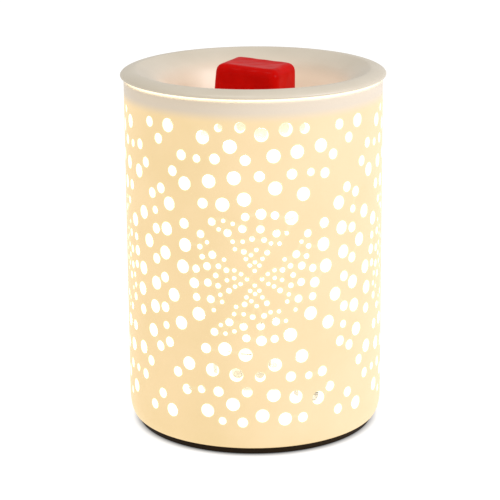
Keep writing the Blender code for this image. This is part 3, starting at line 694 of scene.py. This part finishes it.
def make_dish(glaze, underside):
    """The lift-off dish, with a sloping rim, a deep bowl and a locating ring under the rim."""
    low, high = (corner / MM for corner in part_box("dish"))
    lip_r, crest_z, under = high.x, high.z, low.z
    floor = under + DISH_FLOOR
    crest_r, lip_low_z, ring_z, columns = 48.8, 146.6, 142.5, 192
    lip = [
        (lip_r - 1.1, lip_low_z), (lip_r - 0.3, lip_low_z + 0.2), (lip_r, lip_low_z + 0.9),
        (lip_r - 0.95, crest_z - 1.2), (crest_r + 2.4, crest_z - 0.3), (crest_r, crest_z),
        (crest_r - 1.8, crest_z - 0.5), (41.6, floor + 17.2), (38.6, floor + 14.8),
        (36.4, floor + 10.4), (34.2, floor + 4.9), (31.2, floor + 1.2), (27.0, floor + 0.05),
    ]
    lower = [
        (29.0, under), (33.4, under + 1.1), (36.4, under + 4.2), (38.2, ring_z - 9.0),
        (39.9, ring_z - 4.0), (41.9, ring_z - 0.6),
    ]
    ring = [
        (44.4, ring_z + 1.7), (44.6, ring_z + 0.3), (44.9, ring_z), (46.7, ring_z),
        (47.0, ring_z + 0.3),
    ]
    rise = [
        (47.0, lip_low_z - 3.0), (47.5, lip_low_z - 1.8), (48.6, lip_low_z - 0.5),
        (50.0, lip_low_z), lip[0],
    ]
    flat_under, flat_top = [(0.0, under), (20.0, under)], [(20.0, floor), (0.0, floor)]
    under_side = [*flat_under, *curve_through(lower, 4), *ring, *curve_through(rise, 3)[:-1]]
    top_side = [*curve_through(lip, 6), *flat_top]
    mesh = revolve("dish_bowl", [*under_side, *top_side], columns)
    dish = link("dish_bowl", mesh, glaze, underside)
    lip_edge_z, ring_inner_r = lip_low_z + 0.05, 43.0
    # Downward and outer faces take the underside's painted lamp glow
    for face in mesh.polygons:
        low_down = face.normal.z < 0.25 and face.center.z < lip_edge_z * MM
        beyond_bowl = face.center.xy.length > ring_inner_r * MM
        lit = low_down and (face.normal.z < -0.02 or beyond_bowl)
        face.material_index = 1 if lit else 0
    return dish


def make_melt(stuff):
    """A poured block of wax: tapered, well rounded, with a slightly sunk top."""
    base, top, height, rounding = (29.0, 24.0), (27.4, 22.4), 21.2, 3.2
    yaw, lean, place_x, voxel, lift = -24.0, 3.0, 0.2, 0.45, 0.05
    work = bmesh.new()
    bmesh.ops.create_cube(work, size=1.0)
    for corner in work.verts:
        x, y, z = corner.co
        width, depth = top if z > 0 else base
        corner.co = (x * width * MM, y * depth * MM, (z + 0.5) * height * MM)
    bmesh.ops.bevel(
        work, geom=work.edges[:], offset=rounding * MM, segments=7, profile=0.5, affect="EDGES",
    )
    bmesh.ops.triangulate(work, faces=[face for face in work.faces if len(face.verts) > 4])
    melt = link("wax_block", finished(work, "wax_block"), stuff)
    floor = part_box("dish")[0].z / MM + DISH_FLOOR
    rise = base[0] / 2 * math.sin(math.radians(lean))
    melt.location = Vector((place_x, 0.0, floor + rise + lift)) * MM
    melt.rotation_euler = Euler((0.0, math.radians(lean), math.radians(yaw)))
    remesh = melt.modifiers.new("even_mesh", "REMESH")
    remesh.mode = "VOXEL"
    remesh.voxel_size = voxel * MM
    bake(melt)
    soften(melt.data)
    return melt


def bake(thing):
    """Applies an object's modifiers to its mesh."""
    graph = bpy.context.evaluated_depsgraph_get()
    mesh = bpy.data.meshes.new_from_object(thing.evaluated_get(graph))
    thing.modifiers.clear()
    thing.data = mesh


def soften(mesh):
    """Relaxes the voxel steps, sinks the top a little and adds faint waves."""
    rounds, sink_depth, sink_x, sink_y, sink_above, wave_height = 7, 0.45, 9.5, 7.0, 18, 0.04
    work = bmesh.new()
    work.from_mesh(mesh)
    for _ in range(rounds):
        bmesh.ops.smooth_vert(
            work, verts=work.verts, factor=0.5, use_axis_x=True, use_axis_y=True, use_axis_z=True,
        )
    for vert in work.verts:
        x, y, z = vert.co / MM
        dip = math.exp(-((x / sink_x) ** 4) - (y / sink_y) ** 4) if z > sink_above else 0.0
        sink = sink_depth * dip
        wave = wave_height * math.sin(0.9 * x + 0.5 * z) * math.sin(0.7 * y - 0.4 * z + 1.0)
        vert.co.z -= sink * MM
        vert.co += vert.normal * wave * MM
    work.to_mesh(mesh)
    work.free()
    mesh.shade_smooth()


# Base

def make_base(stuff, inside):
    """The dark base disc, whose top face takes the inside's painted lamp glow; its screws and feet
    stay as the frame has them.
    """
    low, high = (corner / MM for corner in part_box("base_plate"))
    radius, columns = high.x, 160
    outline = [
        (0.0, low.z), (radius - 0.5, low.z), (radius - 0.2, low.z + 0.12), (radius, low.z + 0.5),
        (radius, high.z - 0.6), (radius - 0.2, high.z - 0.2), (radius - 0.6, high.z), (0.0, high.z),
    ]
    disc = link("base_disc", revolve("base_disc", outline, columns), stuff, inside)
    # Painted lamp light: the top face takes the glowing inside material
    for face in disc.data.polygons:
        face.material_index = 1 if face.normal.z > 0.9 else 0
    return disc


# Set

def add_to_scene(name, data):
    thing = bpy.data.objects.new(name, data)
    bpy.context.scene.collection.objects.link(thing)
    return thing


def camera():
    """A long lens that looks down over the rim, and is shifted a little."""
    lens_mm, sensor_mm, pitch, roll = 138.69, 36.0, 0.25, -0.0065
    back, up = 14.645 * BODY_R * MM, 5.491 * BODY_R * MM
    data = bpy.data.cameras.new("camera")
    data.lens = lens_mm
    data.sensor_width = sensor_mm
    data.shift_x = -0.008
    data.shift_y = -0.098
    data.clip_start = 0.01
    eye = add_to_scene("camera", data)
    eye.location = (0.0, -back, up)
    tilt, turn = Matrix.Rotation(math.pi / 2 - pitch, 3, "X"), Matrix.Rotation(roll, 3, "Z")
    eye.rotation_euler = (tilt @ turn).to_euler()
    bpy.context.scene.camera = eye


def area_light(name, place, aim, size, power, colour):
    data = bpy.data.lights.new(name, "AREA")
    data.shape = "DISK"
    data.size = size
    data.energy = power
    data.color = colour
    lamp = add_to_scene(name, data)
    lamp.location = place
    lamp.rotation_euler = (Vector(aim) - Vector(place)).to_track_quat("-Z", "Y").to_euler()


def lights():
    """Soft studio light from the right and above, and the warmer's own lamp."""
    area_light(
        "key_right", place=(1.3, -0.7, 0.7), aim=(0, 0, 0.07), size=0.8, power=12.0,
        colour=(0.97, 0.99, 1.11),
    )
    area_light(
        "top_soft", place=(-0.3, -0.4, 1.3), aim=(0, 0, 0.1), size=0.7, power=4.0,
        colour=(1.0, 1.0, 1.0),
    )
    for name, place, power in (
        ("lamp_beam", (0.0, 0.0, 0.108), 0.12),
        ("lamp_spill_left", (-0.036, -0.012, 0.05), 0.05),
        ("lamp_spill_right", (0.036, -0.012, 0.05), 0.05),
    ):
        data = bpy.data.lights.new(name, "POINT")
        data.energy = power
        data.shadow_soft_size = 0.008
        data.color = (1.0, 0.91, 0.78)
        add_to_scene(name, data).location = place


def world():
    """White behind the object, and a softer white for what lights it."""
    sky = bpy.data.worlds.new("studio")
    bpy.context.scene.world = sky
    sky.use_nodes = True
    tree = sky.node_tree
    background = tree.nodes["Background"]
    set_inputs(background, Color=(0.70, 0.70, 0.70), Strength=1.0)
    seen = tree.nodes.new("ShaderNodeBackground")
    set_inputs(seen, Color=(1.0, 1.0, 1.0), Strength=1.0)
    mix = tree.nodes.new("ShaderNodeMixShader")
    ray = tree.nodes.new("ShaderNodeLightPath")
    tree.links.new(ray.outputs["Is Camera Ray"], mix.inputs["Fac"])
    tree.links.new(background.outputs["Background"], mix.inputs[1])
    tree.links.new(seen.outputs["Background"], mix.inputs[2])
    tree.links.new(mix.outputs["Shader"], tree.nodes["World Output"].inputs["Surface"])
    bpy.context.scene.view_settings.view_transform = "Standard"


def floor():
    """White paper that glows by itself, with a painted shadow under the body, where its glow fades
    out.
    """
    shade_r, clear_r, radius = 0.047, 0.053, 6.0
    made, tree, shader = new_material("white_sweep")
    grain = noise(tree, 60.0)
    paper = colours(tree, grain, ((0.3, (0.24, 0.24, 0.24)), (0.7, (0.27, 0.27, 0.27))))
    tree.links.new(paper, shader.inputs["Base Color"])
    set_inputs(shader, Roughness=0.9, Specular_IOR_Level=0.0, Emission_Color=(1.0, 1.0, 1.0))
    length = tree.nodes.new("ShaderNodeVectorMath")
    length.operation = "LENGTH"
    tree.links.new(place_coordinates(tree), length.inputs[0])
    # Painted shadow: the floor's glow fades to nothing under the body's foot
    bright = spread(tree, length.outputs["Value"], shade_r, clear_r, 0.0, 0.86)
    tree.links.new(bright, shader.inputs["Emission Strength"])
    made.cycles.emission_sampling = "NONE"
    work = bmesh.new()
    bmesh.ops.create_circle(work, cap_ends=True, segments=96, radius=radius)
    link("studio_floor", finished(work, "studio_floor"), made)


def dress(name, material):
    """Gives a carried-over CAD part its finished surface."""
    node = frame["nodes"][name]
    node.data.materials.clear()
    node.data.materials.append(material)
    smooth(node.data)


def dress_frame():
    """Finishes for the pieces that the visual model takes over from the frame."""
    steel = plain(
        "zinc_plated_steel", (0.55, 0.55, 0.54), (0.68, 0.68, 0.66), (0.28, 0.42),
        scale=500.0, metallic=1.0,
    )
    porcelain = plain(
        "lampholder_porcelain", (0.80, 0.78, 0.73), (0.86, 0.85, 0.81), (0.35, 0.5), scale=220.0,
    )
    silicone = plain(
        "silicone_sheet", (0.30, 0.29, 0.28), (0.38, 0.37, 0.36), (0.6, 0.8), scale=900.0,
    )
    rubber = plain(
        "black_moulded_rubber", (0.02, 0.02, 0.02), (0.04, 0.04, 0.038), (0.6, 0.85), scale=1200.0,
    )
    brass = plain(
        "rolled_spring_brass", (0.70, 0.52, 0.22), (0.82, 0.64, 0.32), (0.22, 0.36),
        scale=400.0, metallic=1.0,
    )
    nickel = plain(
        "satin_nickel", (0.62, 0.60, 0.56), (0.76, 0.74, 0.70), (0.18, 0.3),
        scale=400.0, metallic=1.0,
    )
    nylon = plain(
        "moulded_nylon", (0.72, 0.70, 0.62), (0.82, 0.80, 0.72), (0.42, 0.58), scale=350.0,
    )
    sleeve = plain(
        "woven_sleeve", (0.60, 0.57, 0.50), (0.80, 0.77, 0.70), (0.6, 0.8),
        scale=1800.0, relief=0.00012,
    )
    mirror = plain(
        "gold_reflector", (0.93, 0.85, 0.64), (0.98, 0.92, 0.76), (0.08, 0.18),
        scale=260.0, metallic=0.9, relief=0.00006,
    )
    glass = lit_glass()
    wire = glowing_wire()
    finishes = {
        steel: (
            "lamp_bracket", "clamp_screw_left", "clamp_screw_right", "clamp_nut_left",
            "clamp_nut_right", "holder_screw_left", "holder_screw_right", "block_screw",
            "terminal_screw_left_front", "terminal_screw_left_rear",
            "terminal_screw_right_front", "terminal_screw_right_rear",
        ),
        porcelain: ("lampholder_body", "lampholder_cover", "bulb_cap"),
        silicone: ("base_gasket", "bracket_pad_left", "bracket_pad_right"),
        rubber: ("foot_1", "foot_2", "foot_3", "foot_4", "cord_grommet"),
        brass: ("contact_left", "contact_right"),
        nickel: ("bulb_pin_left", "bulb_pin_right"),
        nylon: ("terminal_block",),
        sleeve: ("lead_left", "lead_right"),
        mirror: ("bulb_reflector",),
        glass: ("bulb_lens", "halogen_capsule"),
        wire: ("filament",),
    }
    for material, names in finishes.items():
        for name in names:
            dress(name, material)


def main():
    camera()
    world()
    lights()
    floor()
    outside, edge, inside = lit_ceramic(), hole_wall(), inner_ceramic()
    body = make_shell(outside, edge, inside)
    # The lugs take the inside's painted lamp glow
    lugs = make_lugs(inside)
    for piece in (body, lugs):
        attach(piece, "warmer_body")
        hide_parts("ceramic_shell")
    dish = make_dish(dish_glaze(), dish_underside())
    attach(dish, "dish")
    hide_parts("dish")
    melt = make_melt(red_wax())
    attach(melt, "wax")
    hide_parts("wax_melt")
    enamel = plain(
        "dark_base_enamel", (0.014, 0.008, 0.003), (0.020, 0.011, 0.004), (0.45, 0.6),
        scale=500.0, specular=0.08,
    )
    disc = make_base(enamel, inside)
    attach(disc, "warmer_body")
    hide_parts("base_plate")
    dress_frame()


main()
